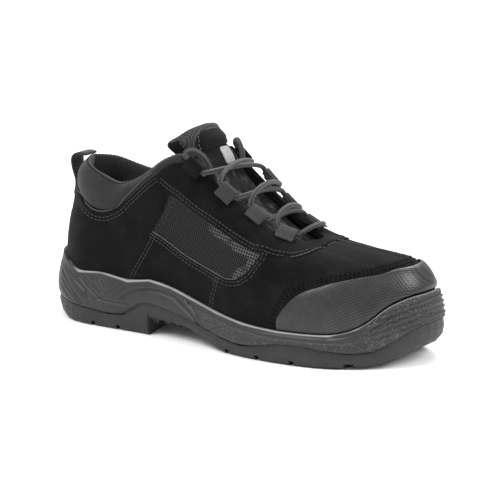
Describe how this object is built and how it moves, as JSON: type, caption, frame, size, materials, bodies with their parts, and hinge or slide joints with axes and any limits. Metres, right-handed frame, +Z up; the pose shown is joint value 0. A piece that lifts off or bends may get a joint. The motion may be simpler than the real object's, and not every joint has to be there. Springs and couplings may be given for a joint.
{
  "type": "safety sneaker",
  "caption": "Low-cut work trainer with a thick cupped sole, hollow upper, toe guard, padded collar and tongue, lace run through webbing loops.",
  "frame": {"origin": "on the floor, under the centre of the shoe's bounding box", "axes": "+X towards the toe, +Y towards the medial side, +Z up"},
  "size_m": [0.2944, 0.1058, 0.1412],
  "materials": {
    "outsole_rubber": "satin moulded sole",
    "midsole_foam": "satin moulded foam with a skin",
    "insole_fabric": "matt",
    "suede": "matt suede with a short nap",
    "coated_fabric": "semi-gloss fine grid",
    "textile": "matt woven",
    "cord": "matt woven webbing and round lace"
  },
  "bodies": {
    "root": {"outsole": "outsole_rubber", "midsole": "midsole_foam", "insole": "insole_fabric", "upper": "suede", "toe_cap": "coated_fabric", "eyestay": "suede", "collar": "textile", "tongue": "textile", "tongue_patch": "suede", "lace_loop_lateral_1": "cord", "lace_loop_lateral_2": "cord", "lace_loop_lateral_3": "cord", "lace_loop_lateral_4": "cord", "lace_loop_medial_1": "cord", "lace_loop_medial_2": "cord", "lace_loop_medial_3": "cord", "lace_loop_medial_4": "cord", "lace_bar": "cord", "lace_cross_1": "cord", "lace_cross_2": "cord", "lace_cross_3": "cord", "pull_loop": "textile"}
  },
  "joints": []
}
